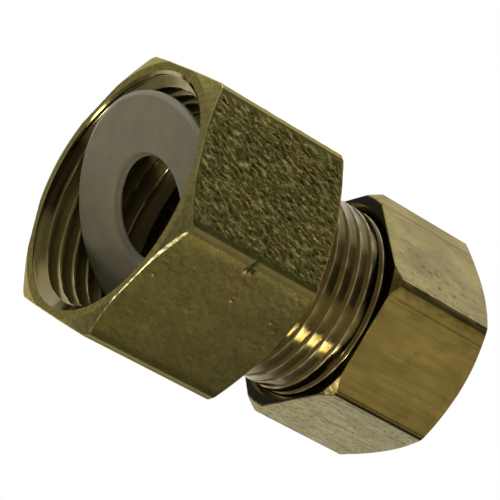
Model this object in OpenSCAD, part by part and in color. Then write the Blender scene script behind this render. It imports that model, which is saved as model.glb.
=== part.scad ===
// Straight compression fitting, brass: female pipe-thread socket, male
// compression thread, nut, ferrule and a loose plastic sealing washer.
// Units: millimetres. The fitting's axis is X. The socket mouth is at x = 0
// and opens towards -X; the nut is at the +X end. Z is up.
// The part lies on the bottom flat of the large hexagon.

/* [Large hexagon] */
// Across flats
hex_af = 28.2; // [24:0.1:34]
// Radius that the corners are eased to
hex_corner_r = 16.15; // [15:0.01:18]
// Length of the large hexagon
hex_len = 17.9; // [12:0.1:26]
// Radius where the front edge break starts
front_rc = 14.17; // [13.5:0.01:15]
// Radius where the rear edge break starts
rear_rc = 13.4; // [12.5:0.01:15]
// Depth of the front edge break per millimetre of radius
front_slope = 0.45; // [0.2:0.01:1]
// Depth of the rear edge break per millimetre of radius
rear_slope = 0.4; // [0.2:0.01:1]

/* [Female pipe thread] */
// Major diameter
fem_major = 26.44; // [20:0.01:34]
// Minor diameter (crests)
fem_minor = 24.12; // [18:0.01:32]
// Pitch: 14 threads per inch
fem_pitch = 1.814; // [1:0.001:3]
// Depth of the full socket
socket_depth = 14; // [8:0.1:18]
// Width of the thread relief at the socket's floor
fem_relief = 2.9; // [0:0.1:6]

/* [Male compression thread] */
// Major diameter
male_major = 21; // [16:0.01:26]
// Thread depth: the crests are left wide, as on a slightly undersized blank
male_depth = 0.4; // [0.35:0.01:0.45]
// Pitch: 16 threads per inch
male_pitch = 1.5875; // [1:0.0005:2.5]
// Length of the threaded end beyond the hexagon
male_len = 14.2; // [8:0.1:24]
// Radial and axial play between the nut's thread and the male thread
thread_play = 0.1; // [0.05:0.01:0.2]

/* [Waterway and tube socket] */
// Tube socket diameter
tube_hole = 15.1; // [10:0.01:20]
// Depth of the tube socket from the end of the male thread
tube_depth = 8.4; // [4:0.1:14]
// Waterway diameter
way_d = 12.6; // [6:0.1:16]
// Diameter of the seat cone at the end face
seat_d = 18.6; // [16:0.01:20]
// Depth of the seat cone
seat_depth = 2.6; // [1:0.1:4]

/* [Nut] */
// Across flats
nut_af = 23.2; // [18:0.1:30]
// Radius that the corners are eased to
nut_corner_r = 13.28; // [12:0.01:15]
// Length
nut_len = 15.3; // [8:0.1:24]
// Distance from the socket mouth to the nut at rest
nut_x = 27; // [22:0.01:40]
// Turn of the nut about its axis at rest, in degrees
nut_turn = 4; // [0:0.5:60]
// Radius where the near edge break starts
nut_near_rc = 12.4; // [11:0.01:13.5]
// Depth of the near edge break per millimetre of radius
nut_near_slope = 0.9; // [0.2:0.01:2]
// Radius where the far edge dome starts
nut_far_rc = 8.95; // [8:0.01:13]
// Depth of the far edge dome per millimetre of radius
nut_far_slope = 0.56; // [0.2:0.01:1]
// Radius of the countersunk mouth at the near face
nut_mouth_r = 11.3; // [10:0.05:12.4]
// Diameter of the tube hole
nut_hole = 15.4; // [12:0.01:20]

/* [Ferrule] */
// Inner diameter
ferrule_id = 15.2; // [10:0.01:20]
// Outer diameter
ferrule_od = 18.2; // [14:0.01:20]
// Distance from the nut's near face to the ferrule's nose
ferrule_x = 7.6; // [4:0.1:12]

/* [Washer] */
// Outer diameter
washer_od = 23.8; // [18:0.01:26]
// Hole diameter
washer_hole = 10.6; // [6:0.1:16]
// Thickness
washer_t = 1; // [0.5:0.1:4]
// Bevel round both outer edges
washer_bevel = 0.2; // [0:0.05:1]
// Tilt of the loose washer at rest, in degrees
washer_tilt = 29.1; // [0:0.1:34]
// Direction of the tilt about the axis, in degrees
washer_dir = -24.8; // [-180:0.1:180]
// Distance from the socket mouth to the middle of the washer
washer_x = 4.6; // [2:0.1:12]

/* [Hidden] */
brass = [0.70, 0.60, 0.32];
bright = [0.80, 0.70, 0.42];
nylon = [0.80, 0.80, 0.76];
seg = 36;
eps = 0.01;
male_r = male_major / 2;
root_r = male_r - male_depth;
crest_flat = 1.0;
t30 = tan(30);
end_x = hex_len + male_len;

// One turned profile, lying along X.
module turned(pts) {
  rotate([0, 90, 0]) rotate_extrude($fn = 96) polygon(pts);
}

// Hexagonal bar along X with flats at the top and bottom, turned by a.
module hexbar(af, len, a = 0) {
  rotate([0, 90, 0]) rotate([0, 0, 30 + a])
    cylinder(r = af / sqrt(3), h = len, $fn = 6);
}

// A point of a helical cutter. k counts segments; the cutter leaves the
// material over the first lead0 and the last lead1 segments.
function lift(k, n, lead0, lead1) =
  max(lead0 > 0 ? max(0, 1 - k / lead0) : 0,
      lead1 > 0 ? max(0, 1 - (n - k) / lead1) : 0);
function helix_pt(k, r, h, p, x0, a0, up) =
  [(r + up) * cos(a0 + 360 * k / seg), (r + up) * sin(a0 + 360 * k / seg),
   x0 + p * k / seg + h];

// Helical cutter along Z: open side at radius ra (half width ha), deep side
// at radius rb (half width hb), from x0 over n segments.
module helix(ra, ha, rb, hb, p, x0, a0, n, lead0, lead1, out) {
  pts = [for (k = [0 : n]) let (u = out * lift(k, n, lead0, lead1))
    each [helix_pt(k, ra, -ha, p, x0, a0, u), helix_pt(k, ra, ha, p, x0, a0, u),
          helix_pt(k, rb, hb, p, x0, a0, u), helix_pt(k, rb, -hb, p, x0, a0, u)]];
  sides = [for (k = [0 : n - 1], j = [0 : 3])
    let (a = 4 * k + j, b = 4 * k + (j + 1) % 4, c = a + 4, d = b + 4)
    each (ra > rb ? [[a, b, c], [b, d, c]] : [[a, c, b], [b, c, d]])];
  e = 4 * n;
  caps = ra > rb
    ? [[0, 3, 2], [0, 2, 1], [e, e + 1, e + 2], [e, e + 2, e + 3]]
    : [[0, 1, 2], [0, 2, 3], [e, e + 3, e + 2], [e, e + 2, e + 1]];
  polyhedron(points = pts, faces = concat(sides, caps), convexity = 12);
}

// Groove of the male thread, from the hexagon out past the end face.
module male_groove() {
  turns = (male_len + male_pitch * 0.6 - 0.9) / male_pitch;
  n = ceil(turns * seg);
  h0 = (male_pitch - crest_flat) / 2;
  x0 = end_x + male_pitch * 0.6 - n * male_pitch / seg;
  rotate([0, 90, 0])
    helix(male_r + 0.15, h0 + 0.15 * t30, root_r, h0 - male_depth * t30,
          male_pitch, x0, male_phase(x0), n, 20, 0, 1.1);
}
// The male groove passes angle 0 at x = end_x.
function male_phase(x) = 360 * (x - end_x) / male_pitch;

// Groove of the nut's thread: the male ridge plus the play.
module nut_groove(from, to) {
  n = ceil((to - from) / male_pitch * seg);
  half = crest_flat / 2 + thread_play;
  rb = male_r + thread_play;
  ra = root_r + 0.12;
  rotate([0, 90, 0])
    helix(ra, half + (male_r - ra) * t30, rb, half - thread_play * t30,
          male_pitch, from, male_phase(from) + 180, n, 0, 0, 0);
}

// Groove of the female pipe thread, from outside the mouth into the relief.
module female_groove() {
  n = ceil((socket_depth - fem_relief / 2 + 1.4) / fem_pitch * seg);
  d = (fem_major - fem_minor) / 2;
  h = 0.14;
  rotate([0, 90, 0])
    helix(fem_minor / 2 - 0.12, h + (d + 0.12) * tan(27.5), fem_major / 2, h,
          fem_pitch, -1.4, 110, n, 0, 0, 0);
}

// One-piece brass body: large hexagon, female socket and male thread.
module fitting_body() {
  big = hex_corner_r;
  wr = way_d / 2;
  tr = tube_hole / 2;
  mr = fem_minor / 2;
  sr = fem_major / 2;
  color(brass) difference() {
    union() {
      intersection() {
        hexbar(hex_af, hex_len);
        turned([[0, 0], [front_rc, 0], [big, front_slope * (big - front_rc)],
                [big, hex_len - rear_slope * (big - rear_rc)],
                [rear_rc, hex_len], [0, hex_len]]);
      }
      turned([[0, hex_len - 1], [male_r, hex_len - 1],
              [male_r, end_x - 0.7], [male_r - 0.7, end_x], [0, end_x]]);
    }
    turned([[0, -1], [sr + 1, -1], [mr, sr - mr], [mr, socket_depth - fem_relief],
            [sr + 0.1, socket_depth - fem_relief + 0.3],
            [sr + 0.1, socket_depth], [wr, socket_depth],
            [wr, end_x - tube_depth], [tr, end_x - tube_depth],
            [tr, end_x - seat_depth], [seat_d / 2, end_x],
            [seat_d / 2, end_x + 1], [0, end_x + 1]]);
    male_groove();
    female_groove();
  }
}

// Hexagonal nut with the inner thread, a chamber for the ferrule and a
// conical shoulder round the tube hole.
module compression_nut() {
  big = nut_corner_r;
  in_r = root_r + 0.15;
  rel_r = male_r + 0.2;
  hr = nut_hole / 2;
  cham = 9.4;
  color(bright) translate([nut_x, 0, 0]) difference() {
    intersection() {
      hexbar(nut_af, nut_len, nut_turn - 30);
      turned([[0, 0], [nut_near_rc, 0], [big, nut_near_slope * (big - nut_near_rc)],
              [big, nut_len - nut_far_slope * (big - nut_far_rc)],
              [nut_far_rc, nut_len], [0, nut_len]]);
    }
    turned([[0, -1], [nut_mouth_r + 1, -1], [in_r, nut_mouth_r - in_r],
            [in_r, 9], [rel_r, 9.3], [rel_r, 10.6], [cham, 10.6], [cham, 11.8],
            [hr, 11.8 + cham - hr], [hr, nut_len + 1], [0, nut_len + 1]]);
    translate([-nut_x, 0, 0]) nut_groove(nut_x - 1.3, nut_x + 9.9);
  }
}

// Brass compression ring, carried in the nut.
module ferrule() {
  ir = ferrule_id / 2;
  or = ferrule_od / 2;
  color(bright) translate([nut_x + ferrule_x, 0, 0])
    turned([[ir, 0], [7.95, 0], [or, 1.8], [or, 4.1], [8.0, 5.2], [ir, 5.2]]);
}

// Loose sealing washer of translucent plastic, tilted in the socket mouth.
module washer() {
  r = washer_od / 2;
  h = washer_hole / 2;
  t = washer_t / 2;
  b = washer_bevel;
  color(nylon) translate([washer_x, 0, 0])
    rotate([washer_dir, 0, 0]) rotate([0, -washer_tilt, 0])
      turned([[h, -t], [r - b, -t], [r, -t + b], [r, t - b], [r - b, t], [h, t]]);
}

fitting_body();
compression_nut();
ferrule();
washer();
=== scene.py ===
"""Compression fitting: detailed brass and plastic surfaces, studio light and camera.

Lengths are in millimetres until a mesh is made. The fitting's axis is X. A point on it is given
by x, its distance r from the axis, and its turn about the axis, from +Y towards +Z.
"""

import math

import bmesh
import bpy
import numpy as np
from mathutils import Matrix, Vector


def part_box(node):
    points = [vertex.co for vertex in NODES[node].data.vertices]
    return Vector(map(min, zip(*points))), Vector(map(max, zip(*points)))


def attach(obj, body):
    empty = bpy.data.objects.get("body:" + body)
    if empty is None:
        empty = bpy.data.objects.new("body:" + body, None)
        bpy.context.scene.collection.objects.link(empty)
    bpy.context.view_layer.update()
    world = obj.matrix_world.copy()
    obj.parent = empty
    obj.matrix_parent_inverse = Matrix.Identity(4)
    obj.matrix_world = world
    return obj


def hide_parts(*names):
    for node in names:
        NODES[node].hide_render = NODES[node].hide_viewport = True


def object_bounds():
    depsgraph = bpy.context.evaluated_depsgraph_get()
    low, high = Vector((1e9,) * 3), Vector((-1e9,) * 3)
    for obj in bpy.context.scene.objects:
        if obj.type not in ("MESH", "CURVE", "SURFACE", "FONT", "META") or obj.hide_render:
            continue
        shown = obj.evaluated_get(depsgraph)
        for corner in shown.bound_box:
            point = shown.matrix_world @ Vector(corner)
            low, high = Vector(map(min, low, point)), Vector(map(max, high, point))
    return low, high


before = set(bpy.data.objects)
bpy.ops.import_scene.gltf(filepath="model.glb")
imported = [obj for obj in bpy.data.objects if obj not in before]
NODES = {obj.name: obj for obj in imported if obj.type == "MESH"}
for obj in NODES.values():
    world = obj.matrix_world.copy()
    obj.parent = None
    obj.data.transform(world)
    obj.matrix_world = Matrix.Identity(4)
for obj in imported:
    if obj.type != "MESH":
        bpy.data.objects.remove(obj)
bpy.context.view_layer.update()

MM = 0.001
TAU = 2 * math.pi
SIXTH = TAU / 6
TAN30 = math.tan(math.radians(30))

# ---------------------------------------------------------------- sizes, as in the CAD model
# The two hexagons are the exception: their flats lie a little inside the CAD's, and the
# relief of their surfaces takes up the room between.
HEX_FLAT = 14.0
HEX_MAX_RELIEF = 0.09
# The broken edge of the hexagon: how far it cuts the corner, and how far it leans.
HEX_BREAKS = ((0.23, 0.0),)
HEX_LEN = 17.9
HEX_FRONT_R = 14.17
HEX_FRONT_SLOPE = 0.45
HEX_REAR_R = 13.4
HEX_REAR_SLOPE = 0.4

SOCKET_CREST_R = 12.06
SOCKET_ROOT_R = 13.22
SOCKET_PITCH = 1.814
SOCKET_FLANK = math.tan(math.radians(27.5))
SOCKET_ROOT_HALF = 0.14
# Where the middle of the groove passes turn 0.
SOCKET_GROOVE_X = -1.4 - SOCKET_PITCH * 20 / 360
SOCKET_THREAD_END = 11.1
SOCKET_RELIEF_R = 13.32
SOCKET_DEPTH = 14.0

MALE_CREST_R = 10.5
MALE_ROOT_R = 10.1
MALE_PITCH = 1.5875
MALE_FLAT = 1.0
MALE_END = 32.1
MALE_CHAMFER = 0.7
MALE_GROOVE_X = MALE_END + MALE_PITCH * 90 / 360
THREAD_PLAY = 0.1
WAY_R = 6.3
TUBE_R = 7.55
TUBE_FLOOR = 23.7
SEAT_START = 29.5
SEAT_R = 9.3

NUT_FLAT = 11.55
NUT_MAX_RELIEF = 0.04
NUT_BREAKS = ((0.13, 0.0), (0.13, 0.0), (0.20, 9.0), (0.12, 0.0), (0.13, 0.0), (0.13, 0.0))
NUT_TURN = math.radians(34)
NUT_NEAR_R = 12.4
NUT_NEAR_SLOPE = 0.9
NUT_FAR_R = 8.95
NUT_FAR_SLOPE = 0.56
NUT_MOUTH_R = 11.3
NUT_CREST_R = 10.25
NUT_ROOT_R = 10.6
NUT_HOLE_R = 7.7
NUT_CHAMBER_R = 9.4
NUT_THREAD_LEN = 9.0
NUT_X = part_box("compression_nut")[0][0] / MM
NUT_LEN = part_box("compression_nut")[1][0] / MM - NUT_X

WASHER_R = 11.9
WASHER_HOLE_R = 5.3
WASHER_HALF = 0.5
WASHER_X = 4.6
WASHER_TILT = math.radians(29.1)
WASHER_DIR = math.radians(-24.8)

# ---------------------------------------------------------------- camera
AIM = Vector((0.0172, 0.0, 0.0013))
DISTANCE = 0.2566
AZIMUTH = 30.81
ELEVATION = 0.86
ROLL = 28.70
LENS = 179.45


def add_camera():
    azimuth, elevation, roll = (math.radians(a) for a in (AZIMUTH, ELEVATION, ROLL))
    level_x = math.sin(azimuth) * math.cos(elevation)
    level_y = math.cos(azimuth) * math.cos(elevation)
    look = Vector((level_x, level_y, math.sin(elevation)))
    level = look.cross(Vector((0, 0, 1))).normalized()
    upright = level.cross(look)
    right = level * math.cos(roll) + upright * math.sin(roll)
    up = right.cross(look)
    data = bpy.data.cameras.new("camera")
    data.lens = LENS
    data.sensor_width = 36.0
    data.clip_start = 0.01
    camera = bpy.data.objects.new("camera", data)
    turn = Matrix((right, up, -look)).transposed().to_4x4()
    camera.matrix_world = Matrix.Translation(AIM - look * DISTANCE) @ turn
    bpy.context.collection.objects.link(camera)
    bpy.context.scene.camera = camera


# ---------------------------------------------------------------- smooth noise on arrays
def ripple(u, v, seed):
    """Smooth noise with features about one unit wide, from -1 to 1."""
    heading = np.random.default_rng(seed).random((256, 256)) * TAU
    cell_u = np.floor(u).astype(int)
    cell_v = np.floor(v).astype(int)
    u = u - cell_u
    v = v - cell_v

    def corner(step_u, step_v):
        angle = heading[(cell_u + step_u) % 256, (cell_v + step_v) % 256]
        return np.cos(angle) * (u - step_u) + np.sin(angle) * (v - step_v)

    blend_u = u * u * u * (u * (u * 6 - 15) + 10)
    blend_v = v * v * v * (v * (v * 6 - 15) + 10)
    low = corner(0, 0) * (1 - blend_u) + corner(1, 0) * blend_u
    high = corner(0, 1) * (1 - blend_u) + corner(1, 1) * blend_u
    return 1.5 * (low * (1 - blend_v) + high * blend_v)


def ease(value, low, high):
    """0 below low, 1 above high, and a smooth step between."""
    t = np.clip((value - low) / (high - low), 0, 1)
    return t * t * (3 - 2 * t)


def bump(value, middle, width):
    """A bell of height 1 round a middle."""
    return np.exp(-((value - middle) / width) ** 2)


def turns_apart(turn, middle):
    """Angle from a middle, either way round, from 0 to pi."""
    return np.abs((turn - middle + math.pi) % TAU - math.pi)


def scatter(u, v, spots):
    """Small dents or specks: the sum of bells at (u, v, radius, height) spots."""
    total = np.zeros_like(u)
    for spot_u, spot_v, radius, height in spots:
        near = (np.abs(u - spot_u) < 3 * radius) & (np.abs(v - spot_v) < 3 * radius)
        away = ((u[near] - spot_u) ** 2 + (v[near] - spot_v) ** 2) / radius**2
        total[near] += height * np.exp(-away)
    return total


# ---------------------------------------------------------------- profiles and skins
ROUND_STEPS = (0.17, 0.34, 0.5, 0.66, 0.83)
SHARP_ANGLE = math.radians(20)
MERGE_DISTANCE = 2e-6


def hexagon(turn, flat, breaks, corner):
    """Radius of a hexagonal bar with broken edges: half its width across flats is `flat`.

    Each break is (depth, lean): how deep it cuts its corner, and by how many degrees it
    leans towards the next flat. The breaks go round the bar from the first corner.
    """
    nearest = np.floor((turn - corner) / SIXTH + 0.5).astype(int)
    off = turn - corner - nearest * SIXTH
    radius = flat / np.cos(SIXTH / 2 - np.abs(off))
    tip = flat / math.cos(SIXTH / 2)
    for i in range(6):
        depth, lean = breaks[i % len(breaks)]
        lean = math.radians(lean)
        cut = (tip * math.cos(lean) - depth) / np.cos(off - lean)
        radius = np.where(nearest % 6 == i, np.minimum(radius, cut), radius)
    return radius


def hexagon_columns(count, flat, breaks, corner):
    """Evenly spaced turns, with the nearest ones moved onto the edges of each break."""
    turn = np.arange(count) * TAU / count
    tip = flat / math.cos(SIXTH / 2)
    for i in range(6):
        depth, lean = breaks[i % len(breaks)]
        lean = math.radians(lean)
        cut = tip * math.cos(lean) - depth
        rise = flat * math.cos(lean) - cut * math.cos(SIXTH / 2)
        for sign in (-1, 1):
            run = cut * math.sin(SIXTH / 2) - sign * flat * math.sin(lean)
            edge = (corner + i * SIXTH + sign * math.atan2(rise, run)) % TAU
            nearest = np.argmin(np.abs(turn - edge))
            turn[nearest] = edge
    return turn


def rounded(path, columns, closed=True):
    """Rows of x and r along a profile, with its corners rounded.

    Each stop on the path is (x, r, soft, steps): its place, how far from it the rounding
    starts, and how many steps its leg takes to the next stop. x and r may vary by column.
    """
    still = np.zeros(columns)
    spots = [np.stack([x + still, r + still]) for x, r, _, _ in path]
    legs = len(path) if closed else len(path) - 1
    ways, lengths = [], []
    for i in range(legs):
        way = spots[(i + 1) % len(path)] - spots[i]
        length = np.maximum(np.hypot(*way), 1e-9)
        ways.append(way / length)
        lengths.append(length)
    cuts = []
    for i, stop in enumerate(path):
        if closed or 0 < i < len(path) - 1:
            room = 0.45 * np.minimum(lengths[i - 1], lengths[i % legs])
            cuts.append(np.minimum(stop[2], room))
        else:
            cuts.append(still)
    rows = []
    for i in range(legs):
        after = (i + 1) % len(path)
        start = spots[i] + ways[i] * cuts[i]
        end = spots[after] - ways[i] * cuts[after]
        for t in np.linspace(0, 1, path[i][3] + 1):
            rows.append(start + (end - start) * t)
        if path[after][2] > 0 and (closed or after < legs):
            leave = spots[after] + ways[after % legs] * cuts[after]
            for t in ROUND_STEPS:
                rows.append((1 - t) ** 2 * end + 2 * t * (1 - t) * spots[after] + t * t * leave)
    rows = np.array(rows)
    return rows[:, 0], rows[:, 1]


def thread_shape(pitch, root, crest, root_half, flank):
    """Stops (place in the pitch, radius) of one thread, from the middle of the groove."""
    depth = abs(crest - root)
    sign = 1 if crest > root else -1
    low = root_half / pitch
    high = (root_half + depth * flank) / pitch
    soft = 0.035
    middle = (low + high) / 2
    half = [0, low - soft, low, low + soft, (low + middle) / 2, middle, (high + middle) / 2,
            high - soft, high, min(high + soft, 0.49), 0.5]

    def radius(place):
        climbs = [np.clip((abs(place + d) * pitch - root_half) / flank, 0, depth)
                  for d in (-soft, 0, soft)]
        return root + sign * sum(climbs) / 3

    places = half + [1 - p for p in half[-2:0:-1]]
    return np.array(places), np.array([radius(min(p, 1 - p)) for p in places])


def helical(shape, pitch, groove_x, first, last, trim, turn):
    """Rows of x and r of a thread. They follow its helix, and trim(x, r, turn) finishes them."""
    places, radii = shape
    begin = math.floor((first - groove_x) / pitch) - 2
    count = math.ceil((last - first) / pitch) + 5
    base = np.concatenate([begin + m + places for m in range(count)])
    x = groove_x + pitch * (base[:, None] + turn[None, :] / TAU)
    x = np.clip(x, first, last)
    phase = ((x - groove_x) / pitch - turn[None, :] / TAU) % 1
    r = np.interp(phase, places, radii, period=1)
    return x, trim(x, r, turn[None, :] + np.zeros_like(x))


def grid_faces(start, rows, columns, jump=0, closed=False):
    """Quads over a grid that wraps round. A jump joins the last column some rows further on."""
    index = start + np.arange(rows * columns).reshape(rows, columns)
    beside = np.roll(index, -1, axis=1)
    if jump:
        wrap = np.full(rows, -1)
        wrap[: rows - jump] = index[jump:, 0]
        beside[:, -1] = wrap
    if closed:
        index = np.vstack([index, index[:1]])
        beside = np.vstack([beside, beside[:1]])
    quads = np.stack([index[:-1], beside[:-1], beside[1:], index[1:]], axis=-1).reshape(-1, 4)
    return quads[(quads >= 0).all(axis=1)]


def mesh_object(name, points, quads, marks):
    """A smooth, closed mesh from points in millimetres, with its marks as attributes."""
    mesh = bpy.data.meshes.new(name)
    mesh.vertices.add(len(points))
    mesh.vertices.foreach_set("co", (points * MM).ravel())
    mesh.loops.add(quads.size)
    mesh.loops.foreach_set("vertex_index", quads.ravel())
    mesh.polygons.add(len(quads))
    mesh.polygons.foreach_set("loop_start", np.arange(0, quads.size, 4))
    mesh.update(calc_edges=True)
    for mark, values in marks.items():
        layer = mesh.attributes.new(mark, "FLOAT", "POINT")
        layer.data.foreach_set("value", values.ravel().astype(np.float32))
    work = bmesh.new()
    work.from_mesh(mesh)
    bmesh.ops.remove_doubles(work, verts=work.verts, dist=MERGE_DISTANCE)
    bmesh.ops.recalc_face_normals(work, faces=work.faces)
    work.to_mesh(mesh)
    work.free()
    mesh.shade_smooth()
    mesh.set_sharp_from_angle(angle=SHARP_ANGLE)
    piece = bpy.data.objects.new(name, mesh)
    bpy.context.collection.objects.link(piece)
    return piece


def surface_points(x, r, turn):
    """Points in space, from x, distance from the axis and turn."""
    return np.stack([x, r * np.cos(turn), r * np.sin(turn)], axis=-1)


def outward(points):
    """Unit normals of a wrapped grid of points."""
    down = np.gradient(points, axis=0)
    across = np.roll(points, -1, axis=1) - np.roll(points, 1, axis=1)
    normal = np.cross(across, down)
    return normal / np.maximum(np.linalg.norm(normal, axis=-1, keepdims=True), 1e-12)


def skin(name, rows, turn, relief):
    """A closed skin over rows of x and r. relief(x, r, turn) gives height and marks."""
    x, r = rows
    turn = turn[None, :] + np.zeros_like(x)
    points = surface_points(x, r, turn)
    height, marks = relief(x, r, turn)
    points = points + outward(points) * height[..., None]
    quads = grid_faces(0, *x.shape, closed=True)
    return mesh_object(name, points.reshape(-1, 3), quads, marks)


def threaded_skin(name, thread, rows, turn, per_turn, relief):
    """A closed skin: a helical thread, then plain rows from its last ring to its first."""
    tx, tr = thread
    x, r = rows
    x[0], r[0] = tx[-1], tr[-1]
    x[-1], r[-1] = tx[0], tr[0]
    all_x = np.vstack([tx, x])
    all_r = np.vstack([tr, r])
    all_turn = turn[None, :] + np.zeros_like(all_x)
    height, marks = relief(all_x, all_r, all_turn)
    points = surface_points(all_x, all_r + height, all_turn).reshape(-1, 3)
    quads = np.vstack([
        grid_faces(0, *tx.shape, jump=per_turn),
        grid_faces(tx.size, *x.shape),
    ])
    return mesh_object(name, points, quads, marks)


# ---------------------------------------------------------------- materials
class Shade:
    """A material being built from nodes. Sizes are in millimetres."""

    def __init__(self, name):
        self.material = bpy.data.materials.new(name)
        self.material.use_nodes = True
        self.tree = self.material.node_tree
        self.shader = self.tree.nodes["Principled BSDF"]
        self.place = self.node("ShaderNodeTexCoord").outputs["Object"]

    def node(self, kind, **settings):
        made = self.tree.nodes.new(kind)
        for key, value in settings.items():
            setattr(made, key, value)
        return made

    def feed(self, socket, value):
        if isinstance(value, bpy.types.NodeSocket):
            self.tree.links.new(value, socket)
        elif isinstance(value, tuple) and len(value) == 3 and socket.type == "RGBA":
            socket.default_value = (*value, 1)
        else:
            socket.default_value = value

    def noise(self, size, detail=2.0, stretch=(1, 1, 1), roughness=0.5):
        scaled = self.node("ShaderNodeVectorMath", operation="MULTIPLY")
        self.feed(scaled.inputs[0], self.place)
        scaled.inputs[1].default_value = [1 / (MM * size * s) for s in stretch]
        texture = self.node("ShaderNodeTexNoise")
        self.feed(texture.inputs["Vector"], scaled.outputs[0])
        texture.inputs["Scale"].default_value = 1.0
        texture.inputs["Detail"].default_value = detail
        texture.inputs["Roughness"].default_value = roughness
        return texture.outputs["Fac"]

    def flat_noise(self, size, detail, stretch, sway):
        """Noise laid out along and across the grain of a flat, from the mesh's marks."""
        both = self.node("ShaderNodeCombineXYZ")
        self.feed(both.inputs[0], self.math("MULTIPLY", self.mark("along"), 1 / (size * stretch)))
        self.feed(both.inputs[1], self.math("MULTIPLY", self.mark("across"), 1 / size))
        texture = self.node("ShaderNodeTexNoise")
        self.feed(texture.inputs["Vector"], both.outputs[0])
        texture.inputs["Scale"].default_value = 1.0
        texture.inputs["Detail"].default_value = detail
        texture.inputs["Distortion"].default_value = sway
        return texture.outputs["Fac"]

    def step(self, value, low, high, bottom=0.0, top=1.0):
        ramp = self.node("ShaderNodeMapRange", interpolation_type="SMOOTHSTEP")
        for socket, given in zip(ramp.inputs, (value, low, high, bottom, top)):
            self.feed(socket, given)
        return ramp.outputs[0]

    def mark(self, name):
        return self.node("ShaderNodeAttribute", attribute_name=name).outputs["Fac"]

    def math(self, operation, a, b):
        made = self.node("ShaderNodeMath", operation=operation)
        self.feed(made.inputs[0], a)
        self.feed(made.inputs[1], b)
        return made.outputs[0]

    def mix(self, amount, below, above):
        made = self.node("ShaderNodeMix", data_type="RGBA")
        self.feed(made.inputs["Factor"], amount)
        self.feed(made.inputs[6], below)
        self.feed(made.inputs[7], above)
        return made.outputs[2]

    def bumps(self, height, distance, strength=1.0, under=None):
        made = self.node("ShaderNodeBump")
        made.inputs["Strength"].default_value = strength
        made.inputs["Distance"].default_value = distance * MM
        self.feed(made.inputs["Height"], height)
        if under:
            self.feed(made.inputs["Normal"], under)
        return made.outputs[0]

    def finish(self, **sockets):
        for name, value in sockets.items():
            self.feed(self.shader.inputs[name.replace("_", " ")], value)
        return self.material


def cast_brass():
    """Forged skin of the large hexagon: olive brass, stained, with painted highlights on its
    ridges and painted shade in its creases and pits.
    """
    s = Shade("forged_brass")
    colour = s.mix(s.step(s.noise(3.2, 3), 0.35, 0.7), (0.185, 0.165, 0.054), (0.24, 0.21, 0.070))
    colour = s.mix(s.step(s.noise(0.3, 3), 0.45, 0.7, 0, 0.3), colour, (0.165, 0.147, 0.058))
    colour = s.mix(s.mark("stain"), colour, (0.215, 0.155, 0.058))
    # bright: painted highlights on the wrinkle ridges and the worn front chamfer (partly bare worn
    # metal, partly painted highlight), and a little lighter on the broken edge strips.
    colour = s.mix(s.mark("bright"), colour, (0.68, 0.60, 0.34))
    mottle = s.step(s.noise(0.55, 3, roughness=0.65), 0.4, 0.62)
    machined = s.mix(mottle, (0.30, 0.245, 0.095), (0.41, 0.355, 0.145))
    colour = s.mix(s.mark("machined"), colour, machined)
    # dark: painted shade in the wrinkle valleys, pits and nick, and over the whole of flat 3.
    colour = s.mix(s.mark("dark"), colour, (0.07, 0.06, 0.035))
    rough = s.step(s.noise(0.7, 3), 0.3, 0.7, 0.25, 0.29)
    worms = s.flat_noise(0.34, 1.0, 2.1, 1.0)
    folds = s.math("MULTIPLY", worms, s.mark("wrinkled"))
    # Painted highlights on the tops of the worms, and painted shade in their creases.
    colour = s.mix(s.math("MULTIPLY", s.step(worms, 0.56, 0.68), s.mark("wrinkled")), colour,
                   (0.42, 0.36, 0.17))
    creases = s.step(worms, 0.37, 0.45, 0.75, 0.0)
    colour = s.mix(s.math("MULTIPLY", creases, s.mark("wrinkled")), colour, (0.045, 0.038, 0.016))
    fine = s.bumps(s.noise(0.16, 3, roughness=0.65), 0.02, 0.35)
    fine = s.bumps(folds, 0.11, 1.0, under=fine)
    return s.finish(Base_Color=colour, Metallic=1.0, Roughness=rough, Normal=fine,
                    Specular_Tint=(0.72, 0.66, 0.46))


def threaded_brass(name, crest, flank, root_shade):
    """Cut thread: a colour each for crests and flanks, painted shade in the roots, and bright
    painted highlights where lines are marked.
    """
    s = Shade(name)
    dull = tuple(0.8 * c for c in flank)
    colour = s.mix(s.step(s.noise(1.6, 3), 0.35, 0.65), flank, dull)
    colour = s.mix(s.mark("crest"), colour, crest)
    # Painted shade in the roots, painted highlights where lines are marked, and near-black painted
    # shade where deep is marked.
    colour = s.mix(s.mark("dark"), colour, root_shade)
    colour = s.mix(s.mark("line"), colour, (1.0, 0.88, 0.55))
    colour = s.mix(s.mark("deep"), colour, (0.055, 0.042, 0.018))
    rough = s.step(s.noise(0.4, 3), 0.3, 0.7, 0.10, 0.19)
    lines = s.bumps(s.noise(0.09, 2, stretch=(1, 12, 12)), 0.01, 0.25)
    return s.finish(Base_Color=colour, Metallic=s.mark("metal"), Roughness=rough, Normal=lines)


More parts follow.
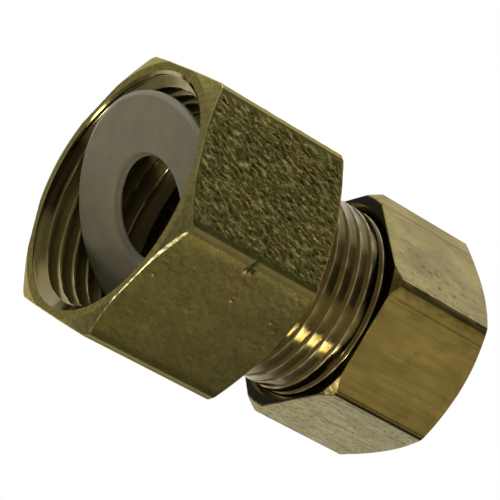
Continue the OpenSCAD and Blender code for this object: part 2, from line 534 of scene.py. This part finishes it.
def drawn_brass():
    """Bar-stock skin of the nut: pale brass with faint drawing lines along the axis."""
    s = Shade("drawn_brass")
    colour = s.mix(s.step(s.noise(4.5, 2), 0.35, 0.65), (0.30, 0.245, 0.085), (0.37, 0.30, 0.108))
    smudge = s.step(s.noise(2.2, 4, stretch=(1.6, 1, 1), roughness=0.6), 0.48, 0.64, 0, 0.7)
    colour = s.mix(smudge, colour, (0.235, 0.185, 0.068))
    streak = s.step(s.noise(0.45, 2, stretch=(22, 1, 1)), 0.48, 0.68, 0, 0.5)
    colour = s.mix(streak, colour, (0.24, 0.185, 0.07))
    fleck = s.step(s.noise(0.20, 2, stretch=(2.6, 1, 1)), 0.55, 0.62)
    colour = s.mix(s.math("MULTIPLY", fleck, s.mark("flecks")), colour, (0.10, 0.08, 0.045))
    colour = s.mix(s.mark("stain"), colour, (0.125, 0.088, 0.035))
    # dark: dark lines by two edges, and painted shade on the near face.
    colour = s.mix(s.mark("dark"), colour, (0.014, 0.010, 0.006))
    colour = s.mix(s.mark("bright"), colour, (0.55, 0.46, 0.22))
    rough = s.step(s.noise(0.6, 3, stretch=(6, 1, 1)), 0.3, 0.7, 0.24, 0.38)
    fine = s.bumps(s.noise(0.22, 3, stretch=(3, 1, 1), roughness=0.6), 0.015, 0.3)
    return s.finish(Base_Color=colour, Metallic=1.0, Roughness=rough, Normal=fine)


def ring_brass():
    """Turned ferrule: fine turning lines round the axis."""
    s = Shade("turned_brass")
    colour = s.mix(s.step(s.noise(1.5, 2), 0.4, 0.6), (0.55, 0.44, 0.20), (0.64, 0.52, 0.26))
    lines = s.bumps(s.noise(0.08, 2, stretch=(1, 14, 14)), 0.01, 0.4)
    return s.finish(Base_Color=colour, Metallic=1.0, Roughness=0.24, Normal=lines)


def washer_plastic():
    """Milky, matt plastic with a trace of mould texture."""
    s = Shade("washer_plastic")
    colour = s.mix(s.step(s.noise(2.4, 2), 0.35, 0.65), (0.315, 0.282, 0.22), (0.35, 0.315, 0.245))
    # bright: painted highlights on the front rim and round the hole's edge.
    colour = s.mix(s.mark("bright"), colour, (0.48, 0.46, 0.42))
    fine = s.bumps(s.noise(0.14, 2), 0.01, 0.3)
    return s.finish(Base_Color=colour, Roughness=0.42, Normal=fine, Subsurface_Weight=0.35,
                    Subsurface_Radius=(1.2, 1.0, 0.8), Subsurface_Scale=MM)


# ---------------------------------------------------------------- the large hexagon
HEX_COLUMNS = 600
HEX_SIDE_STEPS = 100
WRINKLE_LEAN = math.radians(23)
# How wrinkled the forging left each flat, from the one after turn 0 on.
WRINKLES = (0.55, 0.7, 1.0, 0.06, 0.5, 0.6)
HEX_PITS = 30
NICK_X = 8.9
# The middle of the front edge's most worn stretch.
WORN_TURN = math.radians(188)


def flat_place(turn, r, corner=0.0):
    """Which flat a turn is on, and how far along the flat from its middle."""
    side = np.floor((turn - corner) % TAU / SIXTH).astype(int) % 6
    middle = corner + (side + 0.5) * SIXTH
    return side, r * np.sin(turn - middle)


def hexagon_relief(x, r, turn, front_x, worn, rear_x):
    """Height and marks of the forged skin, which lies between front_x and rear_x."""
    side, v = flat_place(turn, r)
    edge = HEX_FLAT * TAN30 - np.abs(v)
    on_side = ease(r, HEX_FLAT - 0.05, HEX_FLAT) * ease(x - front_x, 0.0, 0.3)
    on_side = on_side * ease(rear_x - x, -0.2, 0.4)
    level = np.array(WRINKLES)[side] * ease(edge, 0.5, 1.6) * on_side
    u = x + 40.0 * side
    along = u * math.cos(WRINKLE_LEAN) + v * math.sin(WRINKLE_LEAN)
    across = -u * math.sin(WRINKLE_LEAN) + v * math.cos(WRINKLE_LEAN)
    sway = ripple(u / 2.1, v / 2.1, 11)
    coarse = ripple(along / 1.25 + 0.6 * sway, across / 0.50 + 1.4 * sway, 12)
    fine = ripple(along / 0.6, across / 0.34 + sway, 13)
    worms = 0.095 * coarse + 0.012 * fine
    slow = 0.010 * ripple(u / 4.0, v / 4.0, 14)
    grain = 0.005 * ripple(u / 0.32, v / 0.32, 15)
    rng = np.random.default_rng(5)
    pits = [(rng.uniform(0.5, 17.4), rng.uniform(-7.5, 7.5), rng.uniform(0.06, 0.11),
             rng.uniform(-0.09, -0.03)) for _ in range(HEX_PITS)]
    pitted = scatter(x, v, pits) * on_side * (side != 2)
    # Each flat falls away near its edges, most towards the later one.
    past = r * np.sin((turn + SIXTH / 2) % SIXTH - SIXTH / 2)
    later = np.clip(0.5 - past / 0.8, 0, 1)
    crown = -(0.02 + 0.055 * later) * (1 - ease(edge, 0.1, 1.3 + 0.2 * later)) * on_side
    height = level * worms + on_side * (slow + grain) + crown + pitted
    sunk = level * worms + pitted
    # A nick in the edge between the two flats that face forward.
    beyond = r * np.sin(turn - math.pi)
    slant = x - NICK_X + 0.35 * beyond
    reach = ease(beyond, -0.75, -0.4) * (1 - ease(beyond, 0.3, 0.7))
    nick = -0.15 * bump(slant, 0, 0.16) * reach
    nick -= 0.10 * bump(x, NICK_X - 0.25, 0.20) * bump(beyond, 0.85, 0.22)
    nick -= 0.08 * bump(x, NICK_X + 0.35, 0.12) * bump(beyond, 0.75, 0.30)
    nick += 0.05 * bump(slant, 0.3, 0.10) * bump(beyond, 0.2, 0.4)
    nick *= np.cos(turn - math.pi) > 0
    height += nick
    sunk = sunk + np.minimum(nick, 0)
    # ridge: where the wrinkle ridges get a painted highlight; chamfer: where the worn front
    # chamfer is lighter, partly bare metal and partly painted highlight.
    ridge = ease(coarse + 0.4 * fine, 0.35, 0.9) * level
    stain = ease(ripple(u / 3.1 + 3, v / 3.1, 16) + 0.4 * ripple(u / 0.9, v / 0.9, 17), 0.1, 0.8)
    strip = np.abs(past) < 0.42
    chamfer = np.abs(x - front_x + worn / 2) < worn / 2 + 0.01
    # Painted shade over flat 3, darker towards its rear; the sunk places get painted shade too.
    flat_shade = (side == 3) * ~strip * (0.20 + 0.026 * x)
    marks = {
        "bright": np.clip(0.65 * ridge + chamfer + 0.16 * strip * on_side, 0, 1),
        "stain": np.clip(0.75 * stain * on_side, 0, 1),
        "machined": 1.0 * (x < front_x - worn),
        "dark": np.clip(flat_shade - sunk / 0.09 - 0.35 * (side != 3), 0, 0.8) * on_side,
        "wrinkled": level,
        "along": along,
        "across": across + 9.0 * side,
    }
    return np.minimum(height, HEX_MAX_RELIEF), marks


def add_hexagon(material):
    turn = hexagon_columns(HEX_COLUMNS, HEX_FLAT, HEX_BREAKS, 0.0)
    big = hexagon(turn, HEX_FLAT, HEX_BREAKS, 0.0)
    worn = 0.08 + 0.17 * bump(turns_apart(turn, WORN_TURN), 0, 0.20)
    worn = worn + 0.05 * ripple(turn * 22, turn * 0, 19)
    front_r = np.minimum(big - worn - 0.02, HEX_FRONT_R)
    front_x = HEX_FRONT_SLOPE * (big - worn - front_r)
    rear_r = np.minimum(big, HEX_REAR_R)
    rear_x = HEX_LEN - HEX_REAR_SLOPE * (big - rear_r)
    path = [
        (0, SOCKET_ROOT_R, 0, 8),
        (0, front_r, 0.05, 4),
        (front_x, big - worn, 0.02, 2),
        (front_x + worn, big, 0.04, HEX_SIDE_STEPS),
        (rear_x, big, 0.35, 5),
        (HEX_LEN, rear_r, 0.25, 8),
        # Inside the metal from here on, where the skin only has to close.
        (HEX_LEN, MALE_ROOT_R - 0.2, 0, 1),
        (SOCKET_DEPTH + 1, MALE_ROOT_R - 0.4, 0, 2),
        (SOCKET_DEPTH - 1, SOCKET_RELIEF_R + 0.1, 0, 2),
        (0.25, SOCKET_RELIEF_R + 0.1, 0, 1),
    ]

    def relief(x, r, turn):
        return hexagon_relief(x, r, turn, front_x + worn, worn, rear_x)

    piece = skin("body_hexagon", rounded(path, HEX_COLUMNS), turn, relief)
    piece.data.materials.append(material)
    return piece


# ---------------------------------------------------------------- the socket and the spigot
THREAD_COLUMNS = 320
# The turns round which shade is painted on the countersink: nearly black, and brown.
FAR_SHADE = math.radians(355)
LOW_SHADE = math.radians(280)


def crest_marks(r, root, crest, dark_share):
    """Marks for a thread: where its crests are, and how much shade is painted in its roots."""
    climb = (r - root) / (crest - root)
    return ease(climb, 0.9, 1.0), dark_share * (1 - ease(climb, 0.05, 0.6))


def add_socket(material):
    turn = np.arange(THREAD_COLUMNS) * TAU / THREAD_COLUMNS
    shape = thread_shape(SOCKET_PITCH, SOCKET_ROOT_R, SOCKET_CREST_R, SOCKET_ROOT_HALF,
                         SOCKET_FLANK)

    def trim(x, r, turn):
        r = np.maximum(r, SOCKET_ROOT_R - x)
        burr = 0.03 * ripple(turn * 9, x / 0.8, 21)
        return r + burr * (r < SOCKET_CREST_R + 0.05)

    thread = helical(shape, SOCKET_PITCH, SOCKET_GROOVE_X, 0.0, SOCKET_THREAD_END, trim, turn)
    path = [
        (SOCKET_THREAD_END, SOCKET_CREST_R, 0, 2),
        (SOCKET_THREAD_END + 0.3, SOCKET_RELIEF_R, 0.1, 3),
        (SOCKET_DEPTH, SOCKET_RELIEF_R, 0.15, 12),
        (SOCKET_DEPTH, WAY_R, 0.12, 6),
        (SOCKET_DEPTH + 3, WAY_R, 0, 1),
        # Inside the metal from here on.
        (SOCKET_DEPTH + 3, WAY_R + 1.5, 0, 2),
        (SOCKET_DEPTH + 1.5, SOCKET_RELIEF_R - 1, 0, 1),
        (SOCKET_DEPTH, SOCKET_RELIEF_R + 0.25, 0, 2),
        (0.3, SOCKET_RELIEF_R + 0.15, 0, 1),
        (0.0, SOCKET_ROOT_R, 0, 1),
    ]

    def relief(x, r, turn):
        crest, dark = crest_marks(r, SOCKET_ROOT_R, SOCKET_CREST_R, 0.75)
        mouth = 1 - ease(x, 0.9, 1.3)
        beside = turns_apart(turn, FAR_SHADE)
        below = turns_apart(turn, LOW_SHADE)
        crest = crest * (1 - mouth)
        # dark: painted shade in the roots, and on the countersink round the lower turn; deep:
        # near-black painted shade on the countersink round the far turn.
        marks = {
            "crest": crest * (1 - 0.8 * ease(x, 7.5, 10.5)),
            "dark": np.clip(dark * (1 - mouth) + mouth * (1 - ease(below, 0.8, 1.1)), 0, 1),
            "deep": mouth * (1 - ease(beside, 0.26, 0.5)),
            "metal": np.maximum(np.maximum(crest, mouth), 0.05 + 0.55 * (1 - ease(x, 6, 8))),
            # Painted light on the inside deeper than 9 mm, where little light reaches.
            "line": 0.45 * ease(x, 9, 11.5),
        }
        return np.zeros_like(x), marks

    rows = rounded(path, THREAD_COLUMNS, closed=False)
    piece = threaded_skin("body_socket", thread, rows, turn, len(shape[0]), relief)
    piece.data.materials.append(material)
    return piece


def add_spigot(material):
    turn = np.arange(THREAD_COLUMNS) * TAU / THREAD_COLUMNS
    depth = MALE_CREST_R - MALE_ROOT_R
    shape = thread_shape(MALE_PITCH, MALE_ROOT_R, MALE_CREST_R,
                         (MALE_PITCH - MALE_FLAT) / 2 - depth * TAN30, TAN30)
    start = SOCKET_DEPTH + 2.5

    def trim(x, r, turn):
        # The thread runs out where it reaches the hexagon.
        run_out = ease(x, HEX_LEN + 0.3, HEX_LEN + 1.5)
        r = MALE_CREST_R - (MALE_CREST_R - r) * (0.25 + 0.75 * run_out)
        r = r + 0.012 * ripple(turn * 14, x / 0.5, 22) * (r > MALE_CREST_R - 0.06)
        return np.minimum(r, MALE_CREST_R - MALE_CHAMFER + MALE_END - x)

    thread = helical(shape, MALE_PITCH, MALE_GROOVE_X, start, MALE_END, trim, turn)
    path = [
        (MALE_END, MALE_ROOT_R, 0, 2),
        (MALE_END, SEAT_R, 0.08, 6),
        (SEAT_START, TUBE_R, 0.1, 14),
        (TUBE_FLOOR, TUBE_R, 0.12, 4),
        (TUBE_FLOOR, WAY_R, 0.12, 16),
        (start, WAY_R, 0, 1),
        (start, MALE_ROOT_R, 0, 1),
    ]

    def relief(x, r, turn):
        crest, dark = crest_marks(r, MALE_ROOT_R, MALE_CREST_R, 0.4)
        phase = ((x - MALE_GROOVE_X) / MALE_PITCH - turn / TAU) % 1
        # line: a thin painted highlight along one edge of each crest; worn only varies its
        # strength along the thread.
        line = bump(phase, 0.5 - MALE_FLAT / MALE_PITCH / 2, 0.026) * (x < MALE_END - 0.8)
        worn = ease(ripple(turn * 7, x / 0.9, 23), -0.4, 0.4)
        marks = {
            "crest": crest,
            "dark": np.clip(dark, 0, 1),
            "line": line * (0.3 + 0.7 * worn),
            "metal": np.maximum(crest, 0.25),
        }
        return np.zeros_like(x), marks

    rows = rounded(path, THREAD_COLUMNS, closed=False)
    piece = threaded_skin("body_spigot", thread, rows, turn, len(shape[0]), relief)
    piece.data.materials.append(material)
    return piece


# ---------------------------------------------------------------- the nut
NUT_COLUMNS = 600
NUT_SIDE_STEPS = 84
NUT_PITS = 26


def nut_relief(x, r, turn):
    """Height and marks of the drawn skin. The flats that face forward have their own stains."""
    side, v = flat_place(turn, r, NUT_TURN)
    edge = NUT_FLAT * TAN30 - np.abs(v)
    reach = x - NUT_X
    on_side = ease(r, NUT_FLAT - 0.04, NUT_FLAT)
    u = x + 40.0 * side
    slow = 0.02 * ripple(u / 5.0, v / 4.0, 31)
    grain = 0.004 * ripple(u / 0.6, v / 0.25, 32)
    height = (slow + grain) * on_side * ease(edge, 0.1, 0.8)
    far = ease(reach, NUT_LEN - 4.5, NUT_LEN - 3)
    smear = ripple(u / 3.5, v / 0.35, 33)
    a_side = (side == 1) * on_side
    b_side = (side == 2) * on_side
    c_side = (side == 3) * on_side
    half = NUT_FLAT * TAN30
    # Brown bands along the drawn bar's edges, and thin lines beside them.
    fade = 0.75 + 0.3 * ripple(u / 2.5, v / 0.5, 34)
    rag = ease(ripple(u / 1.1, v / 0.5, 35), -0.35, 0.25)
    stain = b_side * (bump(v, -half + 0.4, 0.4) + 0.55 * bump(v, -half + 1.05, 0.35) * rag) * fade
    stain = stain + 0.9 * b_side * bump(v, -half + 1.85, 0.09) * ease(reach, 0.5, 1.5)
    stain = stain + 0.5 * b_side * bump(v, -half + 2.25, 0.07) * ease(smear, -0.3, 0.3)
    stain = stain + 0.30 * b_side * bump(v, half - 2.1, 0.12) * ease(smear, -0.3, 0.3)
    stain = stain + 0.22 * b_side * bump(v, half - 1.1, 0.9)
    stain = stain + 0.75 * a_side * bump(v, -half + 2.0, 0.16) * fade
    stain = stain + 0.50 * a_side * bump(v, -half + 2.7, 0.10) * ease(smear, -0.4, 0.3)
    stain = stain + 0.80 * a_side * bump(v, half - 0.3, 0.45) * rag
    # A cluster of stain and small pits on the flat after the first.
    rng = np.random.default_rng(8)
    pits = [(rng.normal(6.5, 2.2), rng.normal(2.4, 1.3), rng.uniform(0.16, 0.34),
             rng.uniform(0.5, 1.0)) for _ in range(NUT_PITS)]
    stain = stain + a_side * scatter(reach, v, pits)
    stain = stain + 0.55 * a_side * bump(reach, 4.5, 2.0) * bump(v, 1.8, 1.4)
    dark = b_side * (bump(v, half - 0.12, 0.10) + bump(v, half - 0.45, 0.07)) * 0.9
    dark = dark + c_side * bump(v, -half + 0.1, 0.12)
    # Painted shade on the near face round the mouth.
    mouth = (1 - ease(reach, 0.0, 0.02)) * (1 - ease(r, NUT_NEAR_R - 0.1, NUT_NEAR_R))
    flecks = c_side + a_side * (0.15 + 0.4 * ease(v, 0.5, 5)) + 0.3 * (side > 3) * on_side
    marks = {
        "stain": np.clip(stain, 0, 1),
        "dark": np.clip(dark + mouth, 0, 1),
        "flecks": np.clip(flecks, 0, 1),
        "bright": 0.6 * a_side * bump(v, half - 0.25, 0.3) * ease(smear, -0.1, 0.4) * (1 - far),
    }
    return np.minimum(height, NUT_MAX_RELIEF), marks


def add_nut(material):
    turn = hexagon_columns(NUT_COLUMNS, NUT_FLAT, NUT_BREAKS, NUT_TURN)
    big = hexagon(turn, NUT_FLAT, NUT_BREAKS, NUT_TURN)
    near_r = np.minimum(big - 0.1, NUT_NEAR_R)
    near_x = NUT_X + NUT_NEAR_SLOPE * (big - near_r) + 0.035 * ripple(turn * 30, turn * 0, 36)
    end_x = NUT_X + NUT_LEN
    far_x = end_x - NUT_FAR_SLOPE * (big - NUT_FAR_R)
    path = [
        (NUT_X, NUT_MOUTH_R, 0, 6),
        (NUT_X, near_r, 0.06, 5),
        (near_x, big, 0.10, NUT_SIDE_STEPS),
        (far_x, big, 0.15, 22),
        (end_x, NUT_FAR_R, 0.25, 4),
        (end_x, NUT_HOLE_R, 0, 1),
        # Inside the metal from here on.
        (end_x - 0.3, NUT_HOLE_R + 0.3, 0, 2),
        (end_x - 2.5, NUT_ROOT_R + 0.3, 0, 2),
        (NUT_X + 0.3, NUT_MOUTH_R + 0.05, 0, 1),
    ]
    piece = skin("nut_shell", rounded(path, NUT_COLUMNS), turn, nut_relief)
    piece.data.materials.append(material)
    return piece


def add_nut_bore(material):
    turn = np.arange(THREAD_COLUMNS) * TAU / THREAD_COLUMNS
    root_half = MALE_FLAT / 2 + THREAD_PLAY - THREAD_PLAY * TAN30
    shape = thread_shape(MALE_PITCH, NUT_ROOT_R, NUT_CREST_R, root_half, TAN30)
    # The nut's groove holds the male thread's ridge, half a pitch from the male groove.
    groove_x = MALE_END + MALE_PITCH * (90 / 360 + 0.5)
    end_x = NUT_X + NUT_LEN
    last = NUT_X + NUT_THREAD_LEN

    def trim(x, r, turn):
        return np.maximum(r, NUT_MOUTH_R - (x - NUT_X))

    thread = helical(shape, MALE_PITCH, groove_x, NUT_X, last, trim, turn)
    path = [
        (last, NUT_CREST_R, 0, 2),
        (last + 0.3, NUT_ROOT_R + 0.1, 0.05, 3),
        (last + 1.6, NUT_ROOT_R + 0.1, 0.05, 3),
        (last + 1.6, NUT_CHAMBER_R, 0.05, 3),
        (last + 2.8, NUT_CHAMBER_R, 0.1, 5),
        (last + 4.5, NUT_HOLE_R, 0.1, 5),
        (end_x - 0.3, NUT_HOLE_R, 0.05, 1),
        (end_x, NUT_HOLE_R, 0, 1),
        # Inside the metal from here on.
        (end_x - 0.4, NUT_HOLE_R + 0.5, 0, 2),
        (end_x - 2.4, NUT_ROOT_R + 0.35, 0, 2),
        (NUT_X + 0.3, NUT_MOUTH_R + 0.1, 0, 1),
        (NUT_X, NUT_MOUTH_R, 0, 1),
    ]

    def relief(x, r, turn):
        crest, dark = crest_marks(r, NUT_ROOT_R, NUT_CREST_R, 0.7)
        threaded = ease(x, NUT_X + 1.3, NUT_X + 1.6) * (1 - ease(x, last, last + 0.2))
        marks = {
            "crest": crest * threaded,
            "dark": np.clip(dark * threaded, 0, 1),
            "metal": np.ones_like(x),
        }
        return np.zeros_like(x), marks

    rows = rounded(path, THREAD_COLUMNS, closed=False)
    piece = threaded_skin("nut_bore", thread, rows, turn, len(shape[0]), relief)
    piece.data.materials.append(material)
    return piece


# ---------------------------------------------------------------- the washer
WASHER_COLUMNS = 256


def add_washer(material):
    turn = np.arange(WASHER_COLUMNS) * TAU / WASHER_COLUMNS
    half = WASHER_HALF
    path = [
        (half - 0.3, WASHER_HOLE_R, 0.2, 5),
        (-half, WASHER_HOLE_R + 0.4, 0.35, 36),
        (-half, WASHER_R - 0.45, 0.1, 5),
        (-half + 0.28, WASHER_R, 0.08, 4),
        (half - 0.28, WASHER_R, 0.08, 5),
        (half, WASHER_R - 0.45, 0.1, 40),
        (half, WASHER_HOLE_R + 0.05, 0.05, 3),
    ]

    def relief(x, r, turn):
        # Painted highlights on the front rim and at the hole's edge.
        rim = ease(r, WASHER_R - 0.5, WASHER_R - 0.4) * (x < 0)
        marks = {"bright": np.clip(rim + bump(r, WASHER_HOLE_R + 0.02, 0.08), 0, 1)}
        return 0.006 * ripple(x + r / 1.8, turn * 4, 41), marks

    piece = skin("washer_disc", rounded(path, WASHER_COLUMNS), turn, relief)
    place = Matrix.Translation((WASHER_X * MM, 0, 0))
    lean = Matrix.Rotation(WASHER_DIR, 4, "X") @ Matrix.Rotation(-WASHER_TILT, 4, "Y")
    piece.data.transform(place @ lean)
    piece.data.materials.append(material)
    return piece


# ---------------------------------------------------------------- ferrule
def finish_ferrule(material):
    ring = NODES["ferrule"]
    ring.data.materials.clear()
    ring.data.materials.append(material)


# ---------------------------------------------------------------- light and floor
class Sky:
    """The studio: soft areas of colour painted over each other by direction."""

    def __init__(self, colour):
        self.world = bpy.data.worlds.new("studio")
        bpy.context.scene.world = self.world
        self.world.use_nodes = True
        self.tree = self.world.node_tree
        self.tree.nodes.clear()
        self.way = self.tree.nodes.new("ShaderNodeTexCoord").outputs["Generated"]
        self.under = None
        self.ground = (*colour, 1)

    def paint(self, toward, colour, inner, outer):
        """Colour that is full within `inner` degrees of a direction and gone past `outer`."""
        nodes, links = self.tree.nodes, self.tree.links
        dot = nodes.new("ShaderNodeVectorMath")
        dot.operation = "DOT_PRODUCT"
        links.new(self.way, dot.inputs[0])
        dot.inputs[1].default_value = Vector(toward).normalized()
        ramp = nodes.new("ShaderNodeMapRange")
        ramp.interpolation_type = "SMOOTHSTEP"
        ramp.inputs["From Min"].default_value = math.cos(math.radians(outer))
        ramp.inputs["From Max"].default_value = math.cos(math.radians(inner))
        links.new(dot.outputs["Value"], ramp.inputs["Value"])
        layer = nodes.new("ShaderNodeMix")
        layer.data_type = "RGBA"
        links.new(ramp.outputs[0], layer.inputs["Factor"])
        layer.inputs[6].default_value = self.ground
        if self.under:
            links.new(self.under, layer.inputs[6])
        layer.inputs[7].default_value = (*colour, 1)
        self.under = layer.outputs[2]

    def finish(self):
        nodes, links = self.tree.nodes, self.tree.links
        light = nodes.new("ShaderNodeBackground")
        links.new(self.under, light.inputs["Color"])
        seen = nodes.new("ShaderNodeBackground")
        seen.inputs["Color"].default_value = (1, 1, 1, 1)
        path = nodes.new("ShaderNodeLightPath")
        choose = nodes.new("ShaderNodeMixShader")
        out = nodes.new("ShaderNodeOutputWorld")
        links.new(path.outputs["Is Camera Ray"], choose.inputs[0])
        links.new(light.outputs[0], choose.inputs[1])
        links.new(seen.outputs[0], choose.inputs[2])
        links.new(choose.outputs[0], out.inputs[0])


SKY_COLOUR = (0.24, 0.245, 0.19)
# Direction, colour, and the angles in degrees where the colour starts to fade and has gone.
SKY_AREAS = (
    # Broad, soft light from behind, from behind and below or above, and from the nut's side.
    ((0, 1, 0), (0.36, 0.36, 0.31), 60, 90),
    ((1, 0.05, 0), (0.9, 0.8, 0.55), 15, 42),
    ((0.2, 0.85, -0.5), (0.90, 0.90, 0.83), 31, 43),
    ((0.2, 0.6, 0.77), (1.0, 1.0, 0.93), 36, 54),
    # Dark areas, which give the metal its contrast.
    ((-0.6, -0.2, -0.75), (0.12, 0.12, 0.09), 25, 70),
    ((-0.85, -0.45, 0.15), (0.10, 0.09, 0.06), 14, 32),
    ((0.51, -0.74, 0.44), (0.10, 0.10, 0.075), 8, 22),
    # The light that the nut's near flat mirrors.
    ((0.51, -0.85, -0.11), (0.64, 0.56, 0.39), 6, 20),
    # Small lamps, for the glints on threads, rim and edges.
    ((0.53, -0.62, -0.58), (12.0, 10.8, 7.0), 3.5, 7.5),
    ((-0.77, -0.24, -0.59), (8.5, 8.2, 7.0), 3, 8.5),
    ((-0.16, -0.97, -0.15), (6.0, 5.6, 4.2), 3, 8),
    ((-0.445, -0.683, -0.577), (40.0, 36.0, 26.0), 1.5, 4),
)


def add_light():
    sky = Sky(SKY_COLOUR)
    for toward, colour, inner, outer in SKY_AREAS:
        sky.paint(toward, colour, inner, outer)
    sky.finish()


def add_floor():
    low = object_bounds()[0][2]
    bpy.ops.mesh.primitive_plane_add(size=4.0, location=(0, 0, low))
    floor = bpy.context.object
    floor.name = "floor"
    material = bpy.data.materials.new("floor")
    material.use_nodes = True
    tree = material.node_tree
    tree.nodes.clear()
    out = tree.nodes.new("ShaderNodeOutputMaterial")
    glow = tree.nodes.new("ShaderNodeEmission")
    glow.inputs["Strength"].default_value = 1.0
    tree.links.new(glow.outputs[0], out.inputs[0])
    floor.data.materials.append(material)
    floor.visible_glossy = False
    floor.visible_diffuse = False
    floor.visible_shadow = False


# ---------------------------------------------------------------- the whole scene
# Colours of crests and flanks, and of the painted shade in the roots.
MALE_COLOURS = ((0.125, 0.094, 0.033), (0.30, 0.225, 0.09), (0.20, 0.15, 0.06))
SOCKET_COLOURS = ((0.50, 0.425, 0.19), (0.45, 0.375, 0.165), (0.21, 0.172, 0.075))


def add_fitting():
    threads = threaded_brass("threaded_brass", *MALE_COLOURS)
    socket_brass = threaded_brass("socket_brass", *SOCKET_COLOURS)
    for piece in (add_hexagon(cast_brass()), add_socket(socket_brass), add_spigot(threads)):
        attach(piece, "body")
        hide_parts("fitting_body")
    for piece in (add_nut(drawn_brass()), add_nut_bore(socket_brass)):
        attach(piece, "nut")
        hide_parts("compression_nut")
    disc = add_washer(washer_plastic())
    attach(disc, "washer")
    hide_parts("washer")
    finish_ferrule(ring_brass())


bpy.context.scene.view_settings.view_transform = "Standard"
add_camera()
add_fitting()
add_light()
add_floor()
